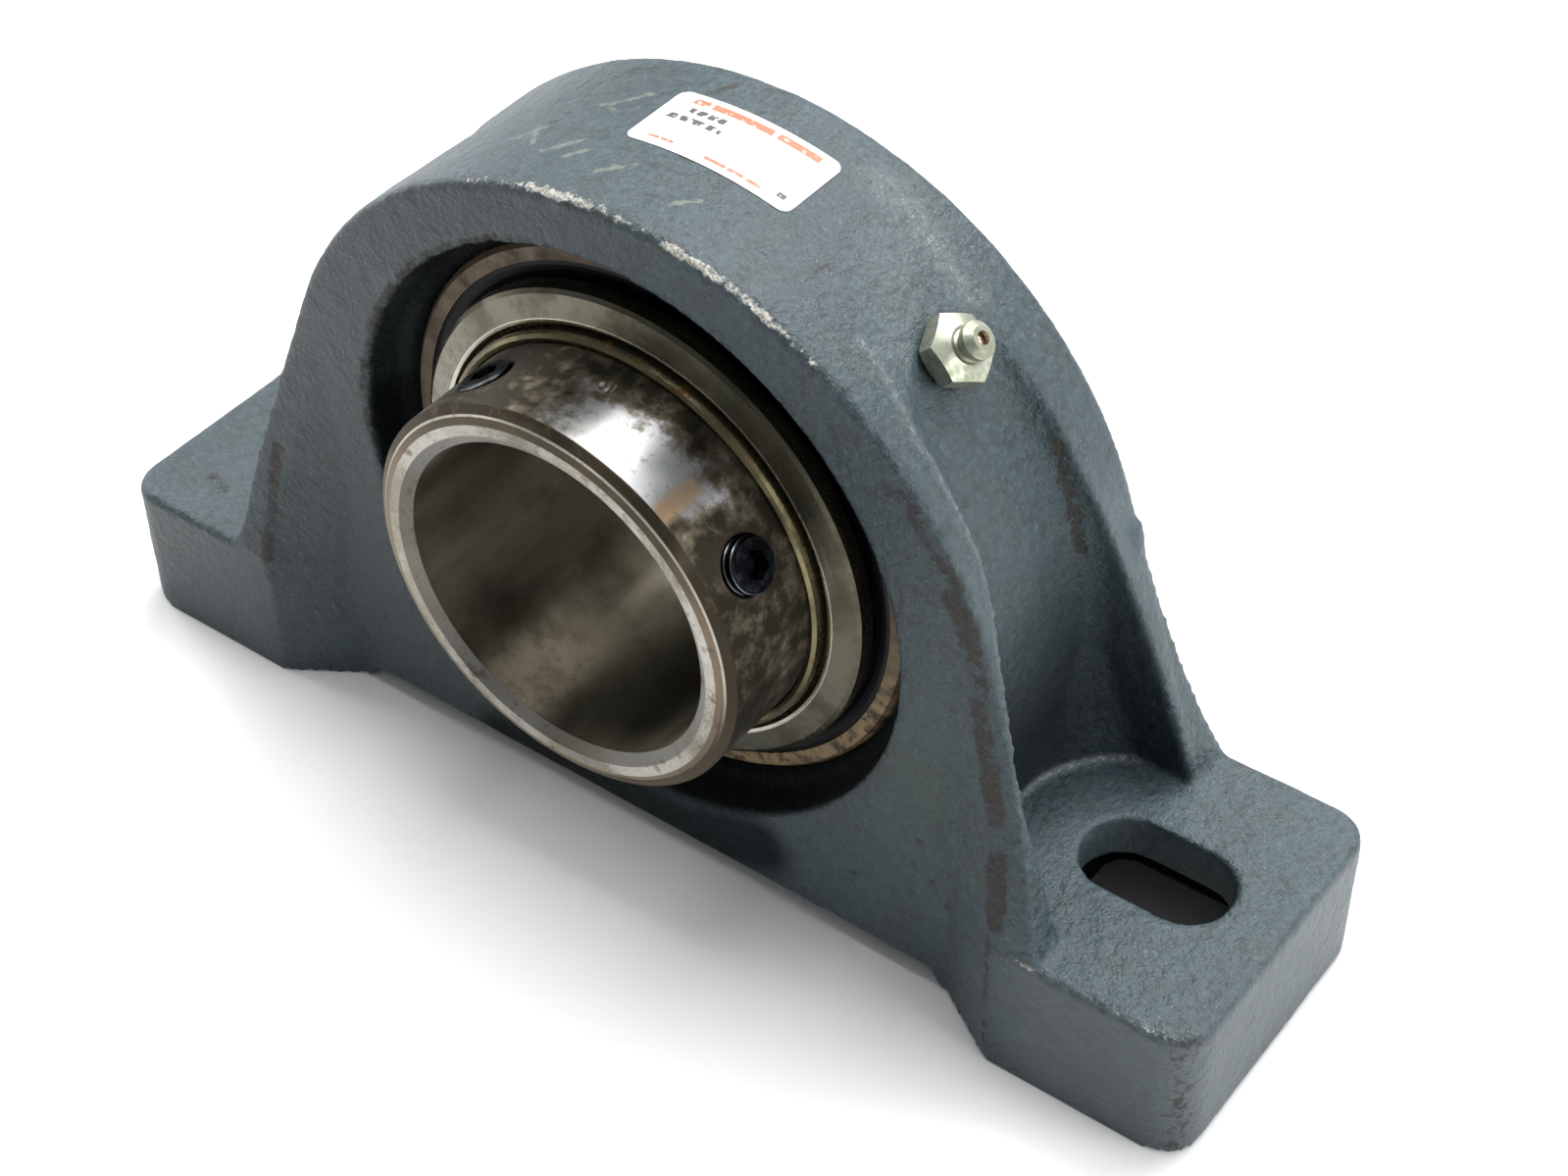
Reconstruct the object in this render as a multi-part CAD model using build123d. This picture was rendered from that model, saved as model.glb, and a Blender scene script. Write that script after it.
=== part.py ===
from build123d import *
from math import asin, cos, radians, sin, sqrt, tan
import os

# Two-bolt pillow block with a self-aligning ball bearing insert held by set screws.
# The origin is on the mounting plane, midway between the bolt slots, under the bore.
# X runs along the base, Y along the shaft (the collar faces -Y), Z is up. Millimetres.

# ---- shaft and housing ----
shaft_diameter = 61.9125
centre_height = 69.85
base_length = 243.0
base_width = 62.5
foot_height = 29.1
foot_corner_radius = 7.5
foot_edge_radius = 1.5
foot_inner_x = 82.5
bolt_spacing = 192.1
slot_width = 17.5
slot_length = 28.5
barrel_width = 45.6
barrel_radius = 77.1
barrel_centre_z = 61.3
barrel_edge_radius = 1.6
side_lean_deg = 18.0
web_inner_x = 69.0
web_blend = 4.0
underside_relief = 3.5
relief_half_length = 65.0
relief_end_slope = 2.5
foot_plate = 9.7
core_inner_x = 76.0
core_outer_x = 114.0
core_half_width = 23.0
core_corner_radius = 6.0
core_draft_deg = 3.0

# ---- flared ribs and the pocket between them ----
flare_top_z = 80.0
flare_levels = [0.0, foot_height, 38.0, 50.0, 64.0, flare_top_z]
ridge_inset = 6.5
rib_side_inset = 0.4
pocket_floor_radius = 76.0
pocket_floor_centre = (-8.0, 68.8)
pocket_start_deg = 78.0
pocket_fillet = 6.0
pocket_wall_levels = [(13.8, 96.0), (19.5, 64.0), (22.4, foot_height)]
pocket_wall_top = 160.0
pocket_shift_y = -2.2
pocket_corner_min_length = 10.0
wrench_radius = 23.0
wrench_centre_x = 91.0
wrench_lean = 0.22

# ---- bearing insert ----
seat_radius = 55.15
seat_half_width = 12.5
ring_sphere_radius = 55.0
ring_half_width = 14.2
ring_land_radius = 48.4
ring_edge_chamfer = 0.8
seal_bore_radius = 50.0
seal_pocket_y = 10.4
ball_diameter = 15.08
ball_pitch_radius = 43.6
ball_count = 10
first_ball_deg = 18.0
groove_conformity = 1.05
cage_sheet = 1.0
cage_inner_radius = 40.9
cage_outer_radius = 45.9
cage_pocket_gap = 0.25
rivet_radius = 0.9
rivet_head_radius = 1.6
rivet_head_height = 0.8
collar_radius = 38.2
collar_reach = 42.0
rear_reach = 26.2
opening_radius = 57.7
opening_draft = 1.1
seat_shoulder_radius = 54.5
oil_groove_y = (2.0, 9.0)
oil_groove_depth = 1.2
oil_hole_radius = 1.25
oil_hole_y = 7.6

# ---- lock pin ----
pin_radius = 2.5
pin_tip = 53.2
pin_top = 61.5
pin_slot_travel = 3.3
pin_fit = 0.06

# ---- set screws ----
screw_diameter = 9.525
screw_length = 6.35
screw_chamfer = 0.6
screw_plane_y = -31.0
screw_fit = 0.05
socket_flats = 4.76
socket_depth = 3.0
screw_angles = {"set_screw_right": 61.0, "set_screw_left": -31.0}
screw_stand_out = {"set_screw_right": 2.5, "set_screw_left": 0.5}

# ---- grease nipple ----
nipple_angle = 45.8
nipple_y = -0.4
nipple_seat_radius = 71.0
nipple_hex_flats = 11.1
nipple_hex_turn = -2.0
nipple_ball_radius = 1.5
nipple_ball_rise = 6.15
nipple_spotface_radius = 7.2
nipple_tap_radius = 4.25
nipple_shank_radius = 4.2
nipple_channel_radius = 1.9
spring_seat_depth = 5.3
spring_wire_radius = 0.25
spring_coil_radius = 1.35

# ---- label ----
label_angles = (-7.8, 16.2)
label_depth = 16.0
label_corner = 1.8
label_skin = 0.15
label_y = 4.6

bore_radius = shaft_diameter / 2
half_base = base_length / 2
half_depth = base_width / 2
half_barrel = barrel_width / 2
groove_radius = ball_diameter / 2 * groove_conformity
standing = (Align.CENTER, Align.CENTER, Align.MIN)


def side_x(z):
    """Half width of the leaning sides at height z."""
    lean = radians(side_lean_deg)
    tangent_x = barrel_radius * cos(lean)
    tangent_z = barrel_centre_z + barrel_radius * sin(lean)
    return tangent_x + (tangent_z - z) * tan(lean)


def flare(z):
    """How far the ribs stand out of the barrel's end plane at height z."""
    drop = max(0.0, flare_top_z - max(z, foot_height))
    full = half_depth - half_barrel
    return full * (drop / (flare_top_z - foot_height)) ** 2


def along_bore(profile):
    """Turn a closed (radius, y) outline about the bore axis."""
    points = [(radius, y) for radius, y in profile]
    face = make_face(Polyline(*points, close=True).edges())
    solid = revolve(face, Axis((0, 0, 0), (0, 1, 0)), 360)
    return Pos(0, 0, centre_height) * solid


def radial(part, angle_deg, y=0.0):
    """Move a part built along +Z from the bore centre to an angle off vertical."""
    return Pos(0, y, centre_height) * Rot(0, angle_deg, 0) * part


def xz_slab(face, y_low, y_high):
    """Extrude a sketch of (x, z) points between two y planes."""
    slab = extrude(Plane.XZ * face, y_high - y_low)
    return Pos(0, y_high, 0) * slab


# ---------------------------------------------------------------- housing

def rib_outline():
    """Barrel arch with leaning straight sides, down to the base."""
    lean = radians(side_lean_deg)
    tangent = (barrel_radius * cos(lean), barrel_centre_z + barrel_radius * sin(lean))
    crown = (0, barrel_centre_z + barrel_radius)
    foot_x = side_x(foot_height)
    arch = ThreePointArc((-tangent[0], tangent[1]), crown, tangent)
    sides = Polyline(tangent, (foot_x, foot_height), (foot_x, 0), (-foot_x, 0),
                     (-foot_x, foot_height), (-tangent[0], tangent[1]))
    return make_face(arch.edges() + sides.edges())


def barrel():
    outline = rib_outline()
    body = xz_slab(outline, -half_barrel, half_barrel)
    arcs = body.edges().filter_by(GeomType.CIRCLE)
    return fillet(arcs, barrel_edge_radius)


def base():
    """Feet and the narrower web between them, seen from above."""
    corner_x = foot_inner_x
    points = [
        (-half_base, -half_depth), (-corner_x, -half_depth), (-web_inner_x, -half_barrel),
        (web_inner_x, -half_barrel), (corner_x, -half_depth), (half_base, -half_depth),
        (half_base, half_depth), (corner_x, half_depth), (web_inner_x, half_barrel),
        (-web_inner_x, half_barrel), (-corner_x, half_depth), (-half_base, half_depth),
    ]
    plan = make_face(Polyline(*points, close=True).edges())
    block = extrude(plan, foot_height)
    corners = block.edges().filter_by(Axis.Z).filter_by(lambda e: abs(e.center().X) > half_base - 1)
    block = fillet(corners, foot_corner_radius)
    rims = block.edges().group_by(Axis.Z)[-1]
    rims = rims.filter_by(lambda e: abs(e.center().X) > foot_inner_x)
    return fillet(rims, foot_edge_radius)


def buttress():
    """One flared rib corner at +X, -Y, lofted between level sections."""
    sections = []
    for z in flare_levels:
        outer_x = side_x(max(z, foot_height)) - rib_side_inset
        ridge_x = outer_x - ridge_inset
        face_y = -half_barrel - flare(z)
        if z >= flare_top_z:
            face_y = -half_barrel + 0.15
        blend_x = web_inner_x - web_blend
        points = [(blend_x, -half_barrel + 0.3), (ridge_x - 1, face_y), (outer_x, face_y),
                  (outer_x, -half_barrel + 6), (blend_x, -half_barrel + 6)]
        if z < foot_height + 1:
            points[0] = (web_inner_x, -half_barrel + 0.3)
        sections.append(Pos(0, 0, z) * make_face(Polyline(*points, close=True).edges()))
    return loft(sections, ruled=True)


def pocket():
    """Hollow between the front and rear ribs at +X, above the foot."""
    centre_x, centre_z = pocket_floor_centre
    radius = pocket_floor_radius
    start = radians(pocket_start_deg)
    top = (centre_x + radius * cos(start), centre_z + radius * sin(start))
    middle = (centre_x + radius * cos(start / 2), centre_z + radius * sin(start / 2))
    side = (centre_x + radius, centre_z)
    reach = 110.0
    arc = ThreePointArc(top, middle, side)
    rest = Polyline(side, (side[0], foot_height), (reach, foot_height),
                    (reach, top[1] + 30), (top[0], top[1] + 30), top)
    region = xz_slab(make_face(arc.edges() + rest.edges()), -half_depth, half_depth)

    high, middle_wall, low = [Vector(y, z) for y, z in pocket_wall_levels]
    flip = lambda point: (-point.X, point.Y)
    curve = ThreePointArc(high, middle_wall, low)
    mirror_curve = ThreePointArc(flip(low), flip(middle_wall), flip(high))
    walls = make_face(curve.edges() + Line(low, flip(low)).edges() + mirror_curve.edges()
                      + Polyline(flip(high), (-high.X, pocket_wall_top),
                                 (high.X, pocket_wall_top), high).edges())
    trough = Pos(20, pocket_shift_y, 0) * extrude(Plane.YZ * walls, 90)
    cut = region & trough
    floor_edges = cut.edges().filter_by(lambda e: is_pocket_corner(e, side[0]))
    cut = fillet(floor_edges, pocket_fillet)

    reach_box = Pos(wrench_centre_x + 25, 0, 0) * Rectangle(50, 2 * wrench_radius)
    plan = Pos(wrench_centre_x, 0, 0) * Circle(wrench_radius) + reach_box
    lean = Vector(-wrench_lean, 0, 1).normalized()
    sweep_part = extrude(Pos(0, 0, foot_height) * plan, 120 / lean.Z, dir=lean)
    return cut & sweep_part


def is_pocket_corner(edge, floor_x):
    """True for the edges where the pocket's floor meets its two walls."""
    centre = edge.center()
    on_floor = centre.X < floor_x + 0.5
    return on_floor and abs(centre.Y) > 5 and edge.length > pocket_corner_min_length


def bore_cutter():
    """Spherical seat with its shoulders and the flared openings at both ends."""
    seat_edge = asin(seat_half_width / seat_radius)
    outline = [(0, -half_barrel - 20), (opening_radius, -half_barrel - 20), (opening_radius, -half_barrel),
               (opening_radius - opening_draft, -half_barrel + 7.4), (seat_shoulder_radius, -half_barrel + 8.6),
               (seat_shoulder_radius - 0.3, -half_barrel + 9.7)]
    half = Polyline(*outline, (seat_radius * cos(seat_edge), -seat_half_width))
    seat = ThreePointArc((seat_radius * cos(seat_edge), -seat_half_width), (seat_radius, 0),
                         (seat_radius * cos(seat_edge), seat_half_width))
    mirrored = [(radius, -y) for radius, y in reversed(outline)]
    other = Polyline((seat_radius * cos(seat_edge), seat_half_width), *mirrored)
    axis_line = Line(mirrored[-1], outline[0])
    face = make_face(half.edges() + seat.edges() + other.edges() + axis_line.edges())
    solid = revolve(face, Axis((0, 0, 0), (0, 1, 0)), 360)
    return Pos(0, 0, centre_height) * solid


def loading_notches():
    """Slots at both sides of the rear opening, through which the insert is loaded."""
    length = half_barrel + 5
    return Pos(0, length / 2, centre_height) * Box(2 * (seat_radius + 0.5), length, 2 * ring_half_width + 0.8)


def grease_groove():
    """Ring groove in the seat that feeds grease from the nipple to the outer ring's hole."""
    low, high = oil_groove_y
    bottom = seat_radius + oil_groove_depth
    return along_bore([(50, low), (bottom, low), (bottom, high), (50, high)])


def nipple_hole():
    """Tapped hole with a shallow seat for the hexagon, drilled into the grease groove."""
    tap = Pos(0, 0, 58) * Cylinder(nipple_tap_radius, 30, align=standing)
    spot = Pos(0, 0, nipple_seat_radius) * Cylinder(nipple_spotface_radius, 10, align=standing)
    drill = Pos(0, 0, 50) * Cylinder(2.5, 12, align=standing)
    return radial(tap + spot + drill, nipple_angle, nipple_y)


def bolt_slots():
    slots = Part()
    for side in (-1, 1):
        shape = SlotOverall(slot_length, slot_width)
        slots += Pos(side * bolt_spacing / 2, 0, -1) * extrude(shape, foot_height + 2)
    return slots


def underside_cut():
    """Shallow relief between the feet, with sloping ends."""
    end_x = relief_half_length + relief_end_slope
    points = [(-end_x, -0.01), (-relief_half_length, underside_relief),
              (relief_half_length, underside_relief), (end_x, -0.01)]
    face = make_face(Polyline(*points, close=True).edges())
    return xz_slab(face, -half_depth - 5, half_depth + 5)


def foot_cores():
    """Hollows in the underside of the feet, under the slotted top plates."""
    cores = Part()
    length = core_outer_x - core_inner_x
    middle_x = (core_inner_x + core_outer_x) / 2
    depth = foot_height - foot_plate
    plan = RectangleRounded(length, 2 * core_half_width, core_corner_radius)
    for side in (-1, 1):
        cores += extrude(Pos(side * middle_x, 0, -1) * plan, depth + 1, taper=core_draft_deg)
    return cores


def housing():
    body = barrel() + base()
    corner = buttress()
    for part in (corner, corner.mirror(Plane.YZ)):
        body += part
        body += part.mirror(Plane.XZ)
    hollow = pocket()
    body -= hollow
    body -= hollow.mirror(Plane.YZ)
    body -= bore_cutter()
    body -= loading_notches()
    body -= grease_groove()
    body -= nipple_hole()
    body -= lock_pin_hole()
    body -= bolt_slots()
    body -= underside_cut()
    body -= foot_cores()
    return body


# ---------------------------------------------------------------- lock pin

def lock_pin():
    """Dowel in the crown that keeps the outer ring from turning with the shaft."""
    pin = Pos(0, 0, centre_height + pin_tip) * Cylinder(pin_radius, pin_top - pin_tip, align=standing)
    return chamfer(pin.edges().filter_by(GeomType.CIRCLE), 0.4)


def lock_pin_hole():
    start = 50.0
    return Pos(0, 0, centre_height + start) * Cylinder(pin_radius + pin_fit, pin_top + 0.3 - start,
                                                       align=standing)


# ---------------------------------------------------------------- outer ring and seals

def raceway():
    """Ring swept by the deep groove's circular section."""
    circle = Pos(ball_pitch_radius, 0, 0) * Circle(groove_radius)
    return Pos(0, 0, centre_height) * revolve(circle, Axis((0, 0, 0), (0, 1, 0)), 360)


def outer_ring():
    edge = ring_edge_chamfer
    face_radius = sqrt(ring_sphere_radius ** 2 - (ring_half_width - edge) ** 2)
    corner_y = ring_half_width - edge
    sphere = ThreePointArc((face_radius, -corner_y), (ring_sphere_radius, 0), (face_radius, corner_y))
    rest = Polyline((face_radius, corner_y), (face_radius - edge, ring_half_width),
                    (seal_bore_radius, ring_half_width), (seal_bore_radius, seal_pocket_y),
                    (ring_land_radius, seal_pocket_y), (ring_land_radius, -seal_pocket_y),
                    (seal_bore_radius, -seal_pocket_y), (seal_bore_radius, -ring_half_width),
                    (face_radius - edge, -ring_half_width), (face_radius, -corner_y))
    face = make_face(sphere.edges() + rest.edges())
    ring = Pos(0, 0, centre_height) * revolve(face, Axis((0, 0, 0), (0, 1, 0)), 360)
    ring -= raceway()
    slot_plan = Rot(0, 0, 90) * SlotOverall(2 * (pin_radius + pin_slot_travel), 2 * pin_radius + 0.3)
    slot = Pos(0, 0, centre_height + pin_tip - 0.4) * extrude(slot_plan, 5)
    oil_hole = Pos(0, 0, 46) * Cylinder(oil_hole_radius, 12, align=standing)
    return ring - slot - radial(oil_hole, nipple_angle, oil_hole_y)


def seal_lip(side):
    """Rubber seal face with its bead in the outer ring and a lip at the inner ring."""
    profile = [(49.9, 11.5), (49.9, 13.9), (49.2, 14.1), (47.9, 13.7), (47.0, 13.2), (40.6, 12.8),
               (39.2, 13.7), (38.45, 13.5), (38.45, 12.6), (40.2, 11.5)]
    return along_bore([(radius, side * y) for radius, y in profile])


def seal_insert(side):
    """Pressed steel washer that stiffens the seal from behind."""
    profile = [(49.9, 10.45), (49.9, 11.5), (40.2, 11.5), (40.2, 10.7), (49.0, 10.7), (49.0, 10.45)]
    return along_bore([(radius, side * y) for radius, y in profile])


# ---------------------------------------------------------------- inner ring, flingers, screws

def inner_ring():
    """Bored ring with a long screw collar in front and a short rear end."""
    bore_chamfer = 2.1
    profile = [
        (bore_radius, -collar_reach + 1.5), (bore_radius + bore_chamfer, -collar_reach),
        (35.0, -collar_reach), (36.2, -collar_reach + 0.5), (36.45, -collar_reach + 0.5),
        (collar_radius, -collar_reach + 1.7), (collar_radius, rear_reach - 1.2),
        (collar_radius - 1.2, rear_reach), (bore_radius + 1.0, rear_reach),
        (bore_radius, rear_reach - 1.0),
    ]
    ring = along_bore(profile) - raceway()
    hole_radius = screw_diameter / 2 + screw_fit
    hole = Pos(0, 0, bore_radius - 5) * Cylinder(hole_radius, 20, align=standing)
    mouth = Pos(0, 0, collar_radius - 0.75) * Cone(hole_radius, hole_radius + 0.8, 0.8, align=standing)
    dimple = Pos(0, 0, collar_radius + 0.9) * Sphere(1.9)
    pin_mark = Pos(0, 0, collar_radius - 1.0) * Cylinder(0.5, 3, align=standing)
    for angle in screw_angles.values():
        ring -= radial(hole + mouth, angle, screw_plane_y)
    ring -= radial(dimple, 4.8, -27.0)
    return ring - radial(pin_mark, 10.3, -22.8)


def set_screw(name):
    """Cup-point socket set screw in its own radial hole, standing a little out of the collar."""
    top = collar_radius + screw_stand_out[name]
    radius = screw_diameter / 2
    body = Pos(0, 0, top - screw_length) * Cylinder(radius, screw_length, align=standing)
    body = chamfer(body.edges().filter_by(GeomType.CIRCLE), screw_chamfer)
    cup = Pos(0, 0, top - screw_length - 0.01) * Cone(2.6, 1.2, 1.0, align=standing)
    hexagon = RegularPolygon(socket_flats / 2, 6, major_radius=False)
    socket = Pos(0, 0, top - socket_depth) * extrude(hexagon, socket_depth + 1)
    return radial(body - cup - socket, screw_angles[name], screw_plane_y)


def flinger(side):
    """Pressed plated ring on the inner ring that covers the seal."""
    profile = [
        (38.25, 14.7), (38.25, 20.6), (38.6, 21.1), (39.3, 21.3), (40.0, 20.9), (40.3, 20.2), (40.4, 18.4),
        (40.9, 18.0), (41.3, 19.3), (41.9, 19.5), (43.5, 19.1), (46.2, 18.5), (47.0, 18.0), (47.3, 17.2),
        (47.3, 15.2), (46.6, 15.2), (46.6, 17.0), (46.0, 17.6), (42.0, 18.3), (41.6, 17.2), (40.6, 16.9),
        (39.6, 17.2), (39.3, 16.4), (39.3, 14.7),
    ]
    return along_bore([(radius, side * y) for radius, y in profile])


# ---------------------------------------------------------------- balls and cage

def ball_spots():
    for index in range(ball_count):
        yield index * 360.0 / ball_count + first_ball_deg


def around(part, angle_deg):
    """Copy a part built at the top of the pitch circle to another ball position."""
    return Pos(0, 0, centre_height) * Rot(0, angle_deg, 0) * part


def balls():
    ball = Pos(0, 0, ball_pitch_radius) * Sphere(ball_diameter / 2)
    return Compound(children=[around(ball, angle) for angle in ball_spots()])


def cage_half(side):
    """Pressed ribbon: flats between the balls and half-round pockets over them."""
    sheet = cage_sheet
    inner = cage_inner_radius
    outer = cage_outer_radius
    pocket_radius = ball_diameter / 2 + cage_pocket_gap
    flat = along_bore([(inner, 0), (outer, 0), (outer, side * sheet), (inner, side * sheet)])
    shell = Pos(0, 0, ball_pitch_radius) * Sphere(pocket_radius + sheet)
    ball_room = Pos(0, 0, ball_pitch_radius) * Sphere(pocket_radius)
    band = along_bore([(inner, 0), (outer, 0), (outer, side * 12), (inner, side * 12)])
    hole = Pos(0, 0, ball_pitch_radius) * Cylinder(rivet_radius, 8, rotation=(90, 0, 0))
    for angle in ball_spots():
        flat += around(shell, angle) & band
    for angle in ball_spots():
        flat -= around(ball_room, angle)
        flat -= around(hole, angle + 180.0 / ball_count)
    return flat


def cage_rivets():
    """Headed rivets that join the two ribbons between the balls."""
    flat_head = Cylinder(rivet_head_radius, rivet_head_height, rotation=(90, 0, 0))
    head_y = cage_sheet + rivet_head_height / 2
    shank = Pos(0, 0, ball_pitch_radius) * Cylinder(rivet_radius, 2 * cage_sheet, rotation=(90, 0, 0))
    rivets = []
    for angle in ball_spots():
        rivet = shank
        for side in (-1, 1):
            rivet += Pos(0, side * head_y, ball_pitch_radius) * flat_head
        rivets.append(around(rivet, angle + 180.0 / ball_count))
    return Compound(children=rivets)


# ---------------------------------------------------------------- grease nipple

def nipple_part(profile):
    """Turn an (r, height) outline about the nipple's own axis."""
    face = make_face(Polyline(*[(r, 0, h) for r, h in profile], close=True).edges())
    return revolve(face, Axis((0, 0, 0), (0, 0, 1)), 360)


def grease_nipple_body():
    """Hexagon, tapered shoulder, waist and rounded head on a threaded shank."""
    base_h = nipple_seat_radius
    hexagon = Pos(0, 0, base_h) * Rot(0, 0, nipple_hex_turn) * extrude(
        RegularPolygon(nipple_hex_flats / 2, 6, major_radius=False), 4.6)
    crown = nipple_part([(0, base_h - 1), (7.2, base_h - 1), (7.2, base_h + 2.6), (6.3, base_h + 3.2),
                         (3.3, base_h + 4.6), (0, base_h + 4.6)])
    foot_round = nipple_part([(0, base_h), (6.0, base_h), (6.5, base_h + 0.5), (6.5, base_h + 4.6),
                              (0, base_h + 4.6)])
    stem = nipple_part([(0, base_h + 2), (3.2, base_h + 2), (3.2, base_h + 4.3), (2.4, base_h + 4.9),
                        (2.4, base_h + 5.5), (3.2, base_h + 6.2), (3.2, base_h + 7.3),
                        (2.0, base_h + 8.4), (0, base_h + 8.4)])
    wide = nipple_channel_radius
    ledge = base_h - spring_seat_depth
    shank = nipple_part([(0, base_h - 9.2), (nipple_shank_radius - 0.5, base_h - 9.2),
                         (nipple_shank_radius, base_h - 8.6), (nipple_shank_radius, base_h), (0, base_h)])
    channel = nipple_part([(0, base_h - 10), (1.2, base_h - 10), (1.2, ledge), (wide, ledge),
                           (wide, base_h + 6.4), (1.15, base_h + 7.3), (1.15, base_h + 10), (0, base_h + 10)])
    body = (hexagon & crown & foot_round) + stem + shank - channel
    return radial(body, nipple_angle, nipple_y)


def grease_nipple_ball():
    ball = Pos(0, 0, nipple_seat_radius + nipple_ball_rise) * Sphere(nipple_ball_radius)
    return radial(ball, nipple_angle, nipple_y)


def grease_nipple_spring():
    """Coil behind the check ball, resting on the ledge in the shank."""
    low = nipple_seat_radius - spring_seat_depth + spring_wire_radius + 0.05
    high = nipple_seat_radius + nipple_ball_rise - nipple_ball_radius
    path = Pos(0, 0, low) * Helix(pitch=2.1, height=high - low, radius=spring_coil_radius)
    wire_face = Plane(path @ 0, z_dir=path % 0) * Circle(spring_wire_radius)
    coil = sweep(wire_face, path)
    return radial(coil, nipple_angle, nipple_y)


# ---------------------------------------------------------------- label

def paper_label():
    """Thin rounded label wrapped on the crown of the barrel."""
    angle_low, angle_high = label_angles
    tube = Cylinder(barrel_radius + label_skin, 60) - Cylinder(barrel_radius, 60)
    shell = Pos(0, 0, barrel_centre_z) * Rot(90, 0, 0) * tube
    middle = (angle_low + angle_high) / 2
    width = barrel_radius * radians(angle_high - angle_low)
    plan = extrude(RectangleRounded(width, label_depth, label_corner), 30)
    stamp = Pos(0, label_y, barrel_centre_z) * Rot(0, middle, 0) * Pos(0, 0, barrel_radius - 15) * plan
    return shell & stamp


# ---------------------------------------------------------------- write the parts

def parts():
    yield "housing", housing()
    yield "lock_pin", lock_pin()
    yield "outer_ring", outer_ring()
    for name, side in (("front", -1), ("rear", 1)):
        yield name + "_seal_lip", seal_lip(side)
        yield name + "_seal_insert", seal_insert(side)
        yield name + "_flinger", flinger(side)
        yield name + "_cage_half", cage_half(side)
    yield "inner_ring", inner_ring()
    for name in screw_angles:
        yield name, set_screw(name)
    yield "balls", balls()
    yield "cage_rivets", cage_rivets()
    yield "grease_nipple_body", grease_nipple_body()
    yield "grease_nipple_ball", grease_nipple_ball()
    yield "grease_nipple_spring", grease_nipple_spring()
    yield "paper_label", paper_label()


os.makedirs("parts", exist_ok=True)
for part_name, solid in parts():
    export_step(solid, os.path.join("parts", part_name + ".step"))
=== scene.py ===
import math

import bmesh
import bpy
import numpy as np
from mathutils import Matrix, Vector, noise


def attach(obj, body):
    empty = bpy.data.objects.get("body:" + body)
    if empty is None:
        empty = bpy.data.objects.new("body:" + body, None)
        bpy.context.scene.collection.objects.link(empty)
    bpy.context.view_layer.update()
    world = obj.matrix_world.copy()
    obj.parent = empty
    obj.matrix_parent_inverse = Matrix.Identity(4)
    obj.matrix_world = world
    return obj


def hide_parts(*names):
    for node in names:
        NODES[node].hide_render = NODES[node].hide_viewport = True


# Two-bolt pillow block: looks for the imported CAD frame. Metres; helper maths in millimetres.
# +X along the base, -Y towards the screw collar, +Z up.

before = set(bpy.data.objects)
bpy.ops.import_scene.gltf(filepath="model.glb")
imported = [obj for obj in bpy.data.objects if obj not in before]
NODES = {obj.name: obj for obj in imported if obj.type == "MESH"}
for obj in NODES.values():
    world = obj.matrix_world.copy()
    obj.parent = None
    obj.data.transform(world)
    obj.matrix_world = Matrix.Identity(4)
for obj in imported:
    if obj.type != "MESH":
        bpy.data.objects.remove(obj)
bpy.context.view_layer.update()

# millimetres, on the housing
BORE_Z = 69.85
SEAT_RADIUS = 56.4
SEAT_HALF_WIDTH = 14.0
OPENING_RADIUS = 57.7
ARCH_Z = 61.3
ARCH_RADIUS = 77.1
PLATE_Y = 22.8
FOOT_TOP = 29.1
POCKET_SHIFT_Y = -2.2
POCKET_FLOOR_X = -8.0
POCKET_FLOOR_Z = 68.8
POCKET_FLOOR_RADIUS = 76.6
POCKET_WALL_Z = (29.0, 64.0, 96.0, 130.0)
POCKET_WALL_Y = (22.4, 19.5, 13.8, 13.0)
CORE_X = (75.4, 114.6)
CORE_Y = 23.6
CORE_TOP = 20.0

# metres and degrees, on the screw collar
SCREW_Y = -0.031
SCREW_PITCH = 0.0015875
SCREW_ANGLES = {"set_screw_right": 61.0, "set_screw_left": -31.0}
COLLAR_END_Y = -0.04
BORE_RADIUS = 0.031

CAMERA_PLACE = (0.2400, -0.2960, 0.3911)
CAMERA_FORWARD = (-0.4429, 0.5896, -0.6754)
CAMERA_UP = (-0.3930, 0.5494, 0.7374)
LENS_MM = 65.24


# ------------------------------------------------------------------ shader helper

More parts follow.
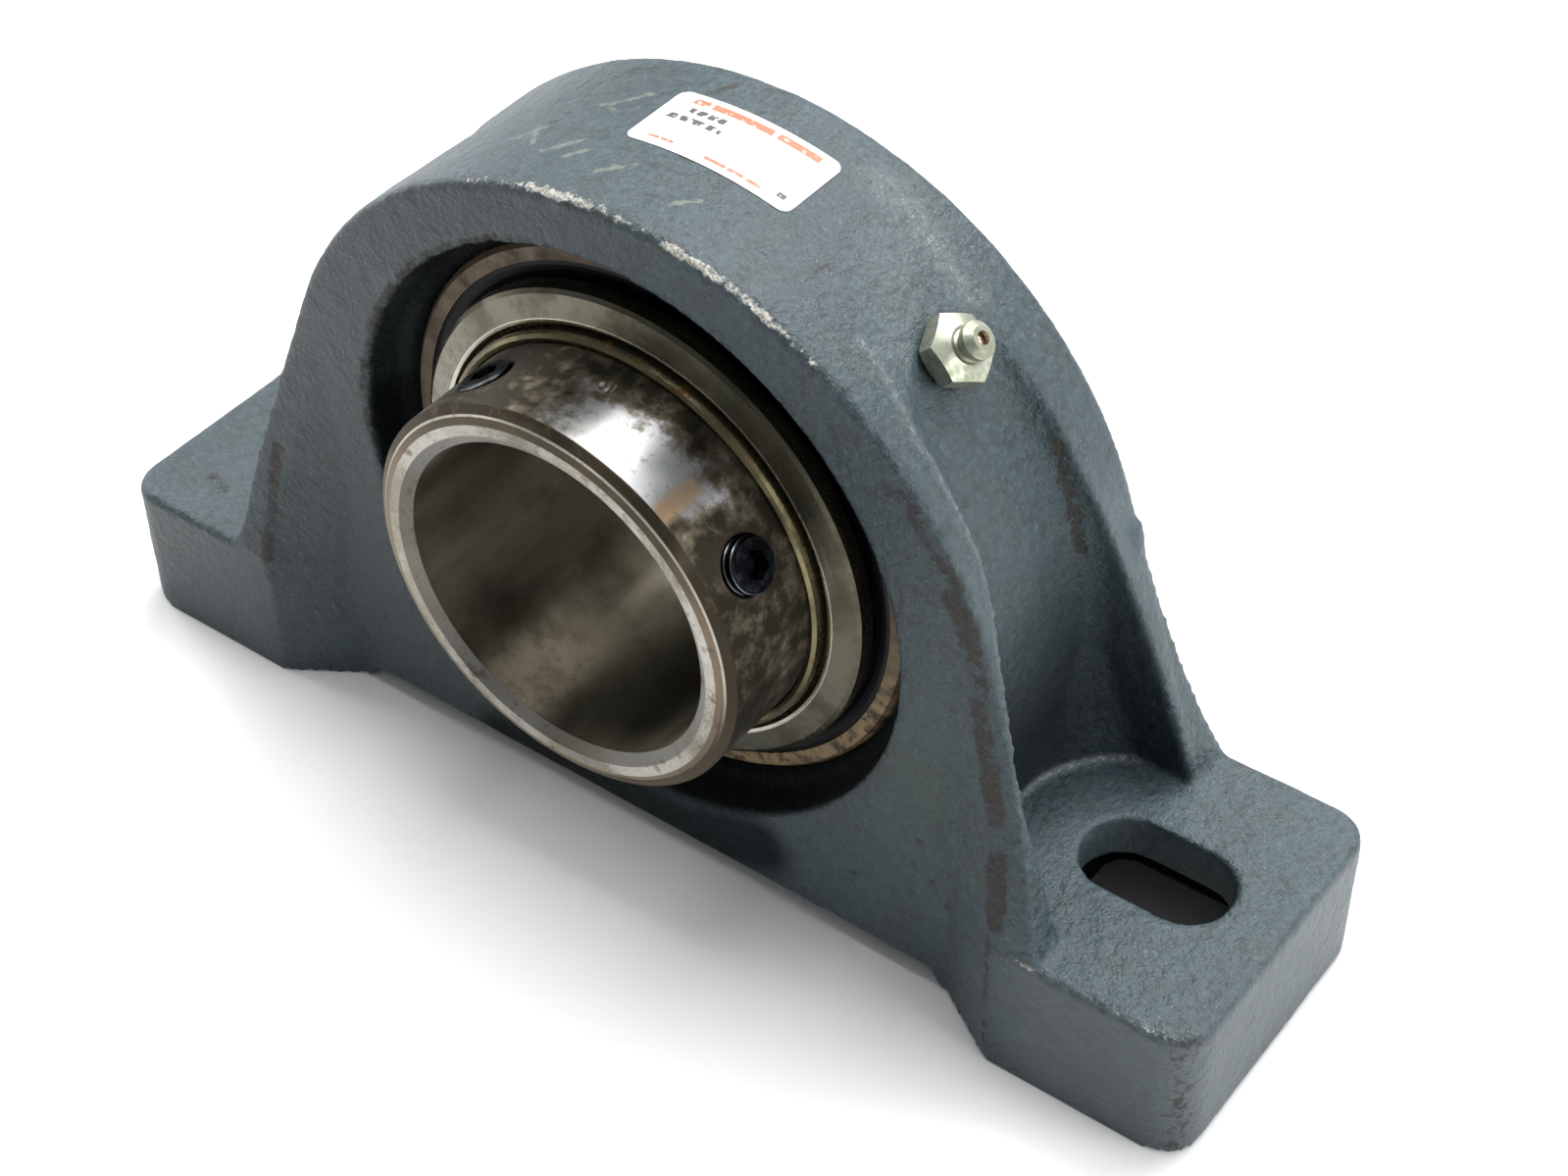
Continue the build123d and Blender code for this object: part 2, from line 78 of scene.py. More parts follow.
class Shader:
    """A node material around one Principled shader."""

    def __init__(self, name, **fixed):
        self.material = bpy.data.materials.new(name)
        self.material.use_nodes = True
        self.tree = self.material.node_tree
        self.tree.nodes.clear()
        self.surface = self.node("ShaderNodeBsdfPrincipled")
        output = self.node("ShaderNodeOutputMaterial")
        self.tree.links.new(self.surface.outputs[0], output.inputs["Surface"])
        self.where = self.node("ShaderNodeTexCoord").outputs["Object"]
        for key, value in fixed.items():
            self.set(key.replace("_", " "), value)

    def node(self, kind, **settings):
        made = self.tree.nodes.new(kind)
        for key, value in settings.items():
            setattr(made, key, value)
        return made

    def feed(self, socket, value):
        if isinstance(value, bpy.types.NodeSocket):
            self.tree.links.new(value, socket)
        elif hasattr(value, "__len__") and len(value) == 3 and len(socket.default_value) == 4:
            socket.default_value = (*value, 1.0)
        else:
            socket.default_value = value

    def set(self, name, value):
        self.feed(self.surface.inputs[name], value)

    def math(self, operation, a, b=0.0):
        made = self.node("ShaderNodeMath", operation=operation)
        self.feed(made.inputs[0], a)
        self.feed(made.inputs[1], b)
        return made.outputs[0]

    def plus(self, a, b):
        return self.math("ADD", a, b)

    def minus(self, a, b):
        return self.math("SUBTRACT", a, b)

    def times(self, a, b):
        return self.math("MULTIPLY", a, b)

    def over(self, a, b):
        return self.math("DIVIDE", a, b)

    def larger(self, a, b):
        return self.math("MAXIMUM", a, b)

    def away(self, value, centre):
        """How far a value is from a centre."""
        return self.math("ABSOLUTE", self.minus(value, centre))

    def length(self, a, b):
        return self.math("SQRT", self.plus(self.times(a, a), self.times(b, b)))

    def noise(self, scale, detail=3.0, roughness=0.55, where=None):
        made = self.node("ShaderNodeTexNoise")
        self.feed(made.inputs["Vector"], where or self.where)
        self.feed(made.inputs["Scale"], scale)
        self.feed(made.inputs["Detail"], detail)
        self.feed(made.inputs["Roughness"], roughness)
        return made.outputs[0]

    def step(self, value, low, high, to_low=0.0, to_high=1.0):
        made = self.node("ShaderNodeMapRange", interpolation_type="SMOOTHSTEP")
        self.feed(made.inputs["Value"], value)
        self.feed(made.inputs["From Min"], low)
        self.feed(made.inputs["From Max"], high)
        self.feed(made.inputs["To Min"], to_low)
        self.feed(made.inputs["To Max"], to_high)
        return made.outputs[0]

    def mix(self, factor, a, b, blend="MIX"):
        made = self.node("ShaderNodeMix", data_type="RGBA", blend_type=blend, clamp_factor=True)
        self.feed(made.inputs[0], factor)
        self.feed(made.inputs[6], a)
        self.feed(made.inputs[7], b)
        return made.outputs[2]

    def attribute(self, name):
        return self.node("ShaderNodeAttribute", attribute_name=name).outputs["Fac"]

    def split(self, vector=None):
        made = self.node("ShaderNodeSeparateXYZ")
        self.feed(made.inputs[0], vector or self.where)
        return made.outputs

    def join(self, x, y, z):
        made = self.node("ShaderNodeCombineXYZ")
        for socket, value in zip(made.inputs, (x, y, z)):
            self.feed(socket, value)
        return made.outputs[0]

    def bump(self, height, strength, distance, under=None):
        made = self.node("ShaderNodeBump")
        self.feed(made.inputs["Strength"], strength)
        self.feed(made.inputs["Distance"], distance)
        self.feed(made.inputs["Height"], height)
        if under:
            self.feed(made.inputs["Normal"], under)
        return made.outputs[0]

    def about_bore(self):
        """Distance from the bore axis, place along it, and the two direction cosines."""
        x, y, z = self.split()
        up = self.minus(z, BORE_Z / 1000)
        radius = self.length(x, up)
        safe = self.larger(radius, 1e-4)
        return radius, y, self.over(x, safe), self.over(up, safe)


def dress(target, shader):
    """Give an object this one material."""
    target.data.materials.clear()
    target.data.materials.append(shader.material)


# ------------------------------------------------------------------ cast housing

def smoothstep(value, low, high):
    """0 below the low limit, 1 above the high one, and smooth between."""
    t = np.clip((value - low) / (high - low), 0.0, 1.0)
    return t * t * (3.0 - 2.0 * t)


def near_line(points, line, width):
    """1 on a polyline through the given points, falling to 0 at the given distance."""
    best = np.full(len(points), 1e9)
    line = np.array(line, float)
    for start, end in zip(line[:-1], line[1:]):
        along = end - start
        t = np.clip(((points - start) @ along) / max(along @ along, 1e-9), 0, 1)
        best = np.minimum(best, np.linalg.norm(points - start - t[:, None] * along, axis=1))
    return 1.0 - smoothstep(best, 0.0, width)


def noise_at(points, scale, shift=0.0):
    """Smooth noise, about -1 to 1, with features of about `scale` millimetres."""
    offset = Vector((shift, shift * 1.7, -shift))
    return np.array([noise.noise(Vector(p) / scale + offset) for p in points])


def cast_copy(node, voxel):
    """Even mesh over a CAD node, fine enough to carve."""
    mesh = bmesh.new()
    mesh.from_mesh(NODES[node].data)
    bmesh.ops.remove_doubles(mesh, verts=mesh.verts, dist=2e-6)
    flat = bpy.data.meshes.new("cast_housing")
    mesh.to_mesh(flat)
    mesh.free()
    made = bpy.data.objects.new("cast_housing", flat)
    bpy.context.scene.collection.objects.link(made)
    grid = made.modifiers.new("grid", "REMESH")
    grid.mode = "VOXEL"
    grid.voxel_size = voxel
    graph = bpy.context.evaluated_depsgraph_get()
    even = bpy.data.meshes.new_from_object(made.evaluated_get(graph))
    made.modifiers.clear()
    made.data = even
    return made


def edge_pairs(mesh):
    """The two vertices of each edge."""
    pairs = np.zeros(len(mesh.edges) * 2, np.int32)
    mesh.edges.foreach_get("vertices", pairs)
    return pairs.reshape(-1, 2)


def relax(points, pairs, weight, rounds):
    """Laplacian smoothing, held back where the weight is low."""
    count = len(points)
    ends = np.concatenate([pairs[:, 0], pairs[:, 1]])
    others = np.concatenate([pairs[:, 1], pairs[:, 0]])
    valence = np.maximum(np.bincount(ends, minlength=count), 1)
    moved = points.copy()
    for _ in range(rounds):
        total = np.stack([np.bincount(ends, moved[others, k], count) for k in range(3)], axis=1)
        mean = total / valence[:, None]
        moved += (mean - moved) * (0.5 * weight)[:, None]
    return moved


def normals_of(mesh):
    """Vertex normals as an array."""
    found = np.zeros(len(mesh.vertices) * 3, np.float32)
    mesh.vertex_normals.foreach_get("vector", found)
    return found.reshape(-1, 3).astype(float)


def cast_weight(points, bore_distance):
    """How freely each vertex may move: not on machined faces, little on edges that stay crisp."""
    x, y, z = points.T
    seat = 1 - smoothstep(bore_distance, SEAT_RADIUS, SEAT_RADIUS + 1)
    seat = seat * (1 - smoothstep(np.abs(y), SEAT_HALF_WIDTH, SEAT_HALF_WIDTH + 1))
    loose = (1 - seat) * smoothstep(z, 0.0, 0.6)
    crisp = near_line(points, POCKET_FOOT_ARC, 3.0)
    crisp = np.maximum(crisp, smoothstep(y, 10, 14) * smoothstep(x, 40, 55) * smoothstep(z, 45, 60))
    crisp = np.maximum(crisp, 1 - smoothstep(np.abs(bore_distance - OPENING_RADIUS), 1.5, 3.0))
    return loose * (1 - 0.7 * crisp)


def build_housing():
    """Cast copy of the CAD housing, roughened and chipped, with its wear, painted light and painted shade
    masks as attributes.
    """
    skin = cast_copy("housing", 0.0008)
    mesh = skin.data
    points = np.zeros(len(mesh.vertices) * 3)
    mesh.vertices.foreach_get("co", points)
    points = points.reshape(-1, 3) * 1000
    pairs = edge_pairs(mesh)
    x, _, z = points.T
    bore_distance = np.hypot(x, z - BORE_Z)
    cast = cast_weight(points, bore_distance)
    rounds = 2
    soft = relax(points, pairs, cast, rounds)
    mesh.vertices.foreach_set("co", (soft / 1000).ravel())
    mesh.update()
    normal = normals_of(mesh)
    removed = ((points - soft) * normal).sum(1)[:, None].repeat(3, 1)
    convex = relax(removed, pairs, np.ones(len(points)), rounds)[:, 0]
    points = soft
    big = noise_at(points, 9.0)
    middle = noise_at(points, 3.2, 4.0)
    fine = noise_at(points, 1.5, 9.0)
    masks = wear_masks(points, normal, convex, bore_distance, big, middle)
    lift = cast * (0.09 * big + 0.08 * middle + 0.05 * fine)
    lift += bumps(points) * masks["gritty"] * cast * 0.3
    lift -= masks["chip"] * np.clip(0.35 + middle + fine, 0, 1) * 0.55
    lift -= masks["pit"] * 0.5
    lift -= masks["rim"] * np.clip(middle + 0.6 * fine, 0, 1) * 0.7
    points = points + normal * lift[:, None]
    points += bow(points) + gate_mark(points)
    mesh.vertices.foreach_set("co", (points / 1000).ravel())
    mesh.update()
    for name, values in masks.items():
        layer = mesh.attributes.new(name, "FLOAT", "POINT")
        layer.data.foreach_set("value", values.astype(np.float32))
    mesh.shade_smooth()
    return skin


def on_crown(angle, y):
    """Point on the arch at an angle from its top."""
    turn = math.radians(angle)
    return (ARCH_RADIUS * math.sin(turn), y, ARCH_Z + ARCH_RADIUS * math.cos(turn))


def arc_line(low, high, y):
    """Points along the arch between two angles from the crown."""
    return [on_crown(angle, y) for angle in range(low, high + 1, 4)]


FOOT_ARC_TURN = np.radians(np.arange(95, 270, 12))
POCKET_FOOT_ARC = np.stack([91 + 23 * np.cos(FOOT_ARC_TURN), 23 * np.sin(FOOT_ARC_TURN),
                            0 * FOOT_ARC_TURN + FOOT_TOP + 0.4], axis=1)

# wear, stains, painted light and painted shadow on the housing: strength, the line that it follows, and its
# width
RIGHT_RIDGE = [(67, -22.8, 93), (69.9, -22.8, 88.6), (72.1, -22.8, 79.2), (74.1, -23.3, 69.8),
               (76.6, -24.1, 60.8), (79.4, -25.7, 50.1), (80.5, -27.0, 44.8), (81.8, -29.7, 33.7)]
LEFT_RIDGE = [(-78.5, -25.0, 54.0), (-80.5, -27.0, 44.8), (-82.5, -30.0, 33.0), (-83.0, -31.2, 24.0)]
REAR_WALL_CREASE = [(63.9, 11.0, 102.4), (67.1, 11.1, 93.6), (68.8, 12.6, 82.9), (69.7, 14.4, 71.2)]
BESIDE_OPENING = [(54.8, -22.8, 109.0), (58.4, -22.8, 108.9), (61.3, -22.8, 103.4), (67.8, -22.7, 95.6)]
CROWN_LEDGE = [(-25.5, -4.3, 134.0), (-28.5, 12.0, 132.9), (-25.1, 15.6, 134.2), (-14.0, 18.0, 137.1)]
POCKET_FRONT_EDGE = [(42, -12.4, 125.8), (46.4, -13.0, 122.9), (55.5, -16.0, 114.8), (59.8, -15.9, 109.9),
                     (65.7, -16.3, 101.6), (69.0, -16.2, 95.8), (72.2, -17.4, 88.0), (74.8, -19.2, 79.5)]
POCKET_REAR_EDGE = [(27.7, 14.3, 133.2), (33.4, 14.4, 130.8), (41, 12, 126.5), (46, 11, 122.5)]
BROWN_MARKS = [
    (1.35, RIGHT_RIDGE, 3.6),
    (0.85, LEFT_RIDGE, 3.0),
    (0.75, REAR_WALL_CREASE, 3.4),
    (0.7, BESIDE_OPENING, 3.0),
    (0.6, CROWN_LEDGE, 2.6),
    (0.6, [(-109, -19.4, 29.1), (-103.6, -21, 29.1)], 3.5),
    (0.55, [(119.5, -29, 29), (119.5, -29, 0)], 6.0),
    (0.6, [(81.5, -31, 29), (82, -31.2, 4)], 3.0),
    (0.5, [on_crown(23, -9), on_crown(25, -6)], 3.0),
    (0.55, [on_crown(-24, 16), on_crown(-14, 18)], 3.0),
]
PALE_MARKS = [
    (0.75, POCKET_FRONT_EDGE, 1.3),
    (0.8, POCKET_FOOT_ARC, 1.5),
    (0.7, [(90.9, -31, 29), (103, -31, 29), (117, -30.2, 28.9)], 1.3),
    (0.55, POCKET_REAR_EDGE, 6.5),
    (0.32, [on_crown(27, 8), on_crown(37, -8)], 9.0),
]
DUST_AND_PAINTED_LIGHT_MARKS = [
    (1.0, [(-47, -20.5, 103), (-53, -17.5, 92), (-56, -17.5, 80)], 7.0),
    # the next two lines are painted light: the foot top by the arc and the rear rib's inner wall, where the
    # pockets shade them
    (0.75, [(79, 10, 29.1), (80, 0, 29.1), (80, -10, 29.1)], 9.0),
    (0.8, [(72, 14, 84), (73, 16, 70), (75, 17, 56)], 11.0),
]
GRIT_MARKS = [
    (1.0, [(86, 12, 29.1), (86, -14, 29.1), (93, -23, 29.1)], 14.0),
    (0.6, [(66, 0, 95), (70, 0, 45)], 24.0),
]
GREEN_MARKS = [(1.0, [(64.7, -22.8, 47), (60.7, -22.8, 52)], 12.0)]
PITS = [(62.4, -22.8, 34.8), (65.3, -22.8, 26.2), (68.4, -22.8, 22.0), (49.0, -22.8, 18.0),
        (-52.0, -22.8, 30.0)]
PIT_MARKS = [(1.0, [pit, pit], 1.2) for pit in PITS]
FOOT_EDGE_MARKS = [
    (1.0, [(88, -31.2, 29.1), (103, -31.2, 29.1), (119, -30.5, 29.0)], 1.1),
    (1.0, [(-118, -30.6, 29.0), (-121, -29, 29.0)], 1.4),
]
# crayon strokes on the crown, from and to, as angle and y
CRAYON_STROKES = [((-23, -8.5), (-19.5, -4)), ((-21.5, -3.5), (-18.5, -10)), ((-15.5, -12), (-12, -7)),
                  ((-11.5, -12.5), (-9.5, -9)), ((-5.5, -14), (-2.5, -9.5)), ((5.5, -14.5), (8.0, -10.5)),
                  ((-15.5, 4.5), (-11.5, 9.5)), ((-16.5, 4.5), (-13.5, 3.5))]
CRAYON_MARKS = [(1.0, [on_crown(*start), on_crown(*end)], 1.3) for start, end in CRAYON_STROKES]
DARK_STROKE_MARKS = [(0.8, [on_crown(-4.5, 14.0), on_crown(-3.0, 18.5)], 1.6)]
# painted shadow of the collar on the front plate, below the opening
UNDER_COLLAR_SHADOW_MARKS = [(1.5, [(-32, -22.8, 3), (0, -22.8, 6), (14, -22.8, 7), (28, -22.8, 12)], 11.0)]


def strongest(points, marks):
    """Largest of several marks at each vertex, up to 1."""
    found = [strength * near_line(points, line, width) for strength, line, width in marks]
    return np.minimum(np.max(found, axis=0), 1.0)


def chip_mask(points, ragged):
    """Bare metal along the front edge of the arch and the top front edges of the feet."""
    x, _, z = points.T
    angle = np.degrees(np.arctan2(x, z - ARCH_Z))
    arch = near_line(points, arc_line(-34, 50, -PLATE_Y + 0.6), 1.9) * (1 - 0.35 * smoothstep(angle, 18, 34))
    arch = arch * (0.35 + 0.65 * smoothstep(angle, -26, -6)) * (1 - smoothstep(angle, 22, 48)) * ragged
    return np.maximum(arch, 0.62 * strongest(points, FOOT_EDGE_MARKS) * ragged)


def opening_rim(points, bore_distance):
    """The left part of the opening's front edge."""
    x, y, _ = points.T
    band = 1 - smoothstep(np.abs(bore_distance - OPENING_RADIUS - 0.4), 0.6, 2.0)
    return band * (1 - smoothstep(np.abs(y + PLATE_Y), 0.8, 2.6)) * smoothstep(-x, -10, 30)


def pocket_shade(points, normal):
    """Painted shade low in the two end pockets, lighter on the rear wall that faces forward."""
    x, y, z = points.T
    side = np.abs(x)
    above_centre = np.maximum(z - POCKET_FLOOR_Z, 0.0)
    past_floor = np.hypot(side - POCKET_FLOOR_X, above_centre) - POCKET_FLOOR_RADIUS
    wall = np.interp(z, POCKET_WALL_Z, POCKET_WALL_Y)
    across = y - POCKET_SHIFT_Y
    outward = normal[:, 1] * np.sign(across)
    rib_edge = 72.8 + (85.1 - z) * 0.325
    shade = smoothstep(past_floor, -1.6, -0.6) * (1 - smoothstep(np.abs(across), wall + 0.3, wall + 0.9))
    shade *= (1 - smoothstep(outward, 0.1, 0.5)) * (1 - smoothstep(side, rib_edge - 1.5, rib_edge))
    shade *= smoothstep(side, 40, 48) * smoothstep(z, 29.6, 31) * (1 - smoothstep(z, 98, 118))
    shade *= np.interp(z, [30, 42, 60, 80, 100], [0.75, 0.85, 0.5, 0.2, 0.1])
    return shade * (1 - 0.45 * smoothstep(-outward, 0.4, 0.8) * smoothstep(y, 5, 12))


def core_shade(points):
    """Painted shade inside the hollows under the feet."""
    x, y, z = points.T
    side = np.abs(x)
    low, high = CORE_X
    along = smoothstep(side, low - 0.4, low + 0.4) * (1 - smoothstep(side, high - 0.4, high + 0.4))
    below = smoothstep(z, 0.3, 1.5) * (1 - smoothstep(z, CORE_TOP - 0.5, CORE_TOP + 0.5))
    return along * below * (1 - smoothstep(np.abs(y), CORE_Y - 0.3, CORE_Y + 0.4))


def shade_mask(points, normal, bore_distance, dust_and_painted_light):
    """Painted shade in the pockets, the cores and the opening, and a painted shadow under the collar."""
    opening = (1 - smoothstep(bore_distance, OPENING_RADIUS - 0.1, OPENING_RADIUS + 0.7))
    opening = opening * smoothstep(points[:, 1], -22.6, -21.0) * (1 - 0.3 * dust_and_painted_light)
    under_collar_shadow = 0.85 * strongest(points, UNDER_COLLAR_SHADOW_MARKS)
    return np.max([under_collar_shadow, pocket_shade(points, normal), 0.9 * core_shade(points), opening], axis=0)


def wear_masks(points, normal, convex, bore_distance, big, middle):
    """Where the surface is chipped, scuffed, stained, gritty or dusty, and where light and shade are painted
    on, from 0 to 1 at each vertex.
    """
    x, _, z = points.T
    ragged = np.clip(0.95 + 0.8 * big + 0.5 * middle, 0.0, 1.0)
    patchy = np.clip(0.92 + 0.8 * big + 0.4 * middle, 0.0, 1.0)
    rim = opening_rim(points, bore_distance)
    brown = np.maximum(strongest(points, BROWN_MARKS), 0.7 * rim) * patchy
    dust_and_painted_light = strongest(points, DUST_AND_PAINTED_LIGHT_MARKS)
    return {
        "edge": np.clip(convex / 0.35, -1, 1),
        "chip": chip_mask(points, ragged),
        "brown": np.maximum(brown, strongest(points, DARK_STROKE_MARKS)),
        "pale": strongest(points, PALE_MARKS),
        "dust_and_painted_light": dust_and_painted_light,
        "pit": strongest(points, PIT_MARKS),
        "rim": rim,
        "stroke": strongest(points, CRAYON_MARKS),
        "gritty": strongest(points, GRIT_MARKS),
        "green": strongest(points, GREEN_MARKS),
        "on_foot": smoothstep(np.abs(x), 82, 92) * (1 - smoothstep(z, 27.2, 28.8)),
        # painted shade on the forward-facing plate, strongest on its left
        "plate": smoothstep(-normal[:, 1], 0.7, 0.95) * smoothstep(25.0 - x, 0, 60),
        "shade": shade_mask(points, normal, bore_distance, dust_and_painted_light),
    }


def bumps(points):
    """Sparse round grains standing on the surface."""
    found = np.zeros(len(points))
    for index, p in enumerate(points):
        distances, places = noise.voronoi(Vector(p) / 3.1)
        if noise.cell(places[0] * 5.3) > 0.1:
            found[index] = max(0.0, 1.0 - (distances[0] / 0.34) ** 2)
    return found


def bow(points):
    """The left side of the casting stands a little proud at mid height."""
    x, _, z = points.T
    amount = smoothstep(-x, 62, 80) * smoothstep(z, 31, 52) * (1 - smoothstep(z, 62, 98))
    return np.stack([-2.3 * amount, 0 * x, 0 * x], axis=1)


def gate_mark(points):
    """Small broken stub of a gate on the right rear rib."""
    x, y, z = points.T
    height = smoothstep(z, 73.5, 80) * (1 - smoothstep(z, 80.8, 81.5))
    amount = smoothstep(x, 60, 70) * smoothstep(y, 18, 21) * height
    return np.stack([0.8 * amount, 0.1 * amount, 0.2 * amount], axis=1)


# cast housing colours
PAINT_DEEP = (0.018, 0.034, 0.042)
PAINT_LIGHT = (0.027, 0.049, 0.059)
PAINT_DULL = (0.02, 0.028, 0.026)
PAINT_DARK_FLECK = (0.011, 0.016, 0.017)
PAINT_PALE_FLECK = (0.062, 0.092, 0.102)
PAINT_BLACK_FLECK = (0.012, 0.018, 0.02)
FOOT_SIDE_GREY = (0.115, 0.13, 0.135)
GREEN_STAIN = (0.035, 0.055, 0.03)
FRONT_PLATE_PAINTED_SHADE = (0.008, 0.013, 0.014)
CREASE_PAINTED_SHADE = (0.01, 0.013, 0.014)
GRIT_GREY = (0.17, 0.2, 0.2)
DUST_AND_PAINTED_LIGHT_GREY = (0.08, 0.105, 0.115)
HAZE_GREY = (0.19, 0.205, 0.2)
SALT_GREY = (0.33, 0.34, 0.33)
SCRAPED_GREY = (0.12, 0.145, 0.15)
RUST_DARK = (0.015, 0.013, 0.011)
RUST_LIGHT = (0.032, 0.027, 0.022)
CHIP_BRIGHT = (0.42, 0.41, 0.36)
CHIP_DULL = (0.16, 0.16, 0.15)
CRAYON = (0.27, 0.27, 0.2)
PIT_BLACK = (0.012, 0.012, 0.01)
PAINTED_SHADE_BLACK = (0.003, 0.005, 0.006)


def sound_coat(s, mottle, grit):
    """The paint where it is whole: two tones, flecks, the broad stains, painted shade on the front plate and
    in creases, and dusty patches with painted light.
    """
    base = s.mix(s.step(s.noise(28, 4), 0.35, 0.65), PAINT_DEEP, PAINT_LIGHT)
    base = s.mix(s.step(s.noise(110, 5, 0.65), 0.5, 0.68, 0.0, 0.6), base, PAINT_DULL)
    base = s.mix(s.step(s.noise(330, 5, 0.7), 0.53, 0.64, 0.0, 0.7), base, PAINT_DARK_FLECK)
    base = s.mix(s.step(mottle, 0.42, 0.7, 0.0, 0.5), base, PAINT_PALE_FLECK)
    base = s.mix(s.step(s.noise(1100, 3, 0.6), 0.52, 0.66, 0.0, 0.5), base, PAINT_BLACK_FLECK)
    base = s.mix(s.times(s.attribute("on_foot"), 0.3), base, FOOT_SIDE_GREY)
    base = s.mix(s.times(s.attribute("green"), 0.35), base, GREEN_STAIN)
    # painted shade on the front plate
    base = s.mix(s.times(s.attribute("plate"), 0.42), base, FRONT_PLATE_PAINTED_SHADE)
    # painted shade in creases and hollow corners
    base = s.mix(s.step(s.attribute("edge"), -0.05, -0.9, 0.0, 0.6), base, CREASE_PAINTED_SHADE)
    base = s.mix(s.times(s.step(grit, 0.62, 0.7), 0.4), base, GRIT_GREY)
    # grey over dusty patches, and painted light on the two shaded spots in the pockets
    return s.mix(s.times(s.attribute("dust_and_painted_light"), 0.45), base, DUST_AND_PAINTED_LIGHT_GREY)


def torn(s, name, tear, spread, low=0.42, high=0.6):
    """A wear mask with a ragged edge."""
    mask = s.attribute(name)
    broken = s.plus(mask, s.times(tear, spread))
    return s.times(s.step(broken, low, high), s.step(mask, 0.02, 0.2))


def worn_coat(s, base, mottle, grit, tear):
    """Haze, scrapes, rust, chips, crayon, pits and painted shade over the paint."""
    haze = s.times(s.attribute("pale"), s.step(mottle, 0.3, 0.65, 0.1, 0.42))
    base = s.mix(haze, base, HAZE_GREY)
    salt = s.plus(s.times(s.attribute("pale"), 0.25), s.noise(1500, 3, 0.7))
    base = s.mix(s.times(s.step(salt, 0.7, 0.8), 0.45), base, SALT_GREY)
    scraped = s.times(s.step(s.attribute("edge"), 0.25, 0.8), s.step(mottle, 0.42, 0.6, 0.1, 0.55))
    base = s.mix(scraped, base, SCRAPED_GREY)
    rust = s.mix(s.step(grit, 0.4, 0.6), RUST_DARK, RUST_LIGHT)
    base = s.mix(s.times(torn(s, "brown", tear, 2.8, 0.5, 0.6), 0.9), base, rust)
    chipped = s.mix(s.step(grit, 0.42, 0.6), CHIP_BRIGHT, CHIP_DULL)
    base = s.mix(torn(s, "chip", tear, 2.0, 0.4, 0.62), base, chipped)
    base = s.mix(s.times(torn(s, "stroke", tear, 2.2, 0.5, 0.9), 0.3), base, CRAYON)
    base = s.mix(s.step(s.attribute("pit"), 0.2, 0.6), base, PIT_BLACK)
    # near-black painted shade where the shade mask is set
    return s.mix(s.times(s.attribute("shade"), 0.95), base, PAINTED_SHADE_BLACK)


def paint():
    """Blue-grey machine paint on a sand casting."""
    s = Shader("blue_grey_paint")
    mottle = s.noise(650, 4, 0.6)
    grit = s.noise(1700, 3, 0.6)
    tear = s.minus(s.noise(650, 5, 0.75), 0.5)
    s.set("Base Color", worn_coat(s, sound_coat(s, mottle, grit), mottle, grit, tear))
    shade = s.attribute("shade")
    # painted shade also turns the paint metallic, so the shaded spots lose their reflection and read near
    # black
    s.set("Metallic", s.times(shade, 0.7))
    dull = s.plus(s.times(torn(s, "brown", tear, 1.5), 0.2), s.times(shade, 0.35))
    s.set("Roughness", s.plus(s.step(mottle, 0.2, 0.8, 0.4, 0.56), dull))
    s.set("Specular IOR Level", 0.45)
    grain = s.plus(s.noise(700, 4, 0.6), s.times(s.noise(2400, 2, 0.5), 0.35))
    s.set("Normal", s.bump(grain, 0.8, 0.0006, s.bump(s.noise(260, 2, 0.5), 0.5, 0.0008)))
    return s


skin = build_housing()
dress(skin, paint())
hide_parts("housing")
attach(skin, "housing")


# ------------------------------------------------------------------ metals and rubber

# colours of the metals and the label
BORE_BROWN = (0.09, 0.082, 0.058)
BORE_DARK = (0.052, 0.044, 0.03)
BORE_PAINTED_STREAK = (0.155, 0.138, 0.105)
BORE_MARK = (0.04, 0.032, 0.022)
BORE_PAINTED_HIGHLIGHT = (0.32, 0.27, 0.2)
COLLAR_BRIGHT = (0.78, 0.79, 0.8)
COLLAR_DULL = (0.6, 0.59, 0.56)
COLLAR_SOIL_AND_SHADE = (0.15, 0.128, 0.092)
COLLAR_DEEP_SOIL_AND_SHADE = (0.036, 0.032, 0.023)
COLLAR_MARK = (0.1, 0.085, 0.06)
COLLAR_PAINTED_REFLECTION = (0.8, 0.55, 0.34)
THREAD_DARK = (0.012, 0.012, 0.014)
THREAD_LIGHT = (0.13, 0.14, 0.15)
HOLE_PAINTED_SHADE = (0.05, 0.04, 0.03)
FACE_BRIGHT = (0.5, 0.48, 0.43)
FACE_DULL = (0.33, 0.3, 0.24)
FACE_LINE = (0.62, 0.61, 0.57)
FACE_TAN_LOW = (0.22, 0.175, 0.125)
FACE_TAN_TOP = (0.12, 0.1, 0.072)
FACE_INNER_EDGE = (0.24, 0.23, 0.21)
FACE_PALE_RING = (0.5, 0.47, 0.41)
FACE_DARK_RIM = (0.055, 0.044, 0.03)
FACE_STAIN = (0.13, 0.1, 0.07)
FACE_CLOUD = (0.2, 0.17, 0.12)
FACE_SHADE = (0.09, 0.07, 0.048)
RUST_SPECK = (0.06, 0.035, 0.02)
CREST_DARK = (0.004, 0.004, 0.005)
CREST_LIGHT = (0.19, 0.205, 0.215)
OXIDE_DARK = (0.008, 0.008, 0.01)
OXIDE_LIGHT = (0.03, 0.038, 0.048)
RACE_RUST = (0.12, 0.092, 0.062)
RACE_DARK = (0.05, 0.038, 0.025)
RACE_SPOT = (0.03, 0.02, 0.014)
RACE_TAN = (0.36, 0.26, 0.145)
RACE_TAN_DARK = (0.26, 0.185, 0.1)
PLATE_OLIVE = (0.13, 0.122, 0.09)
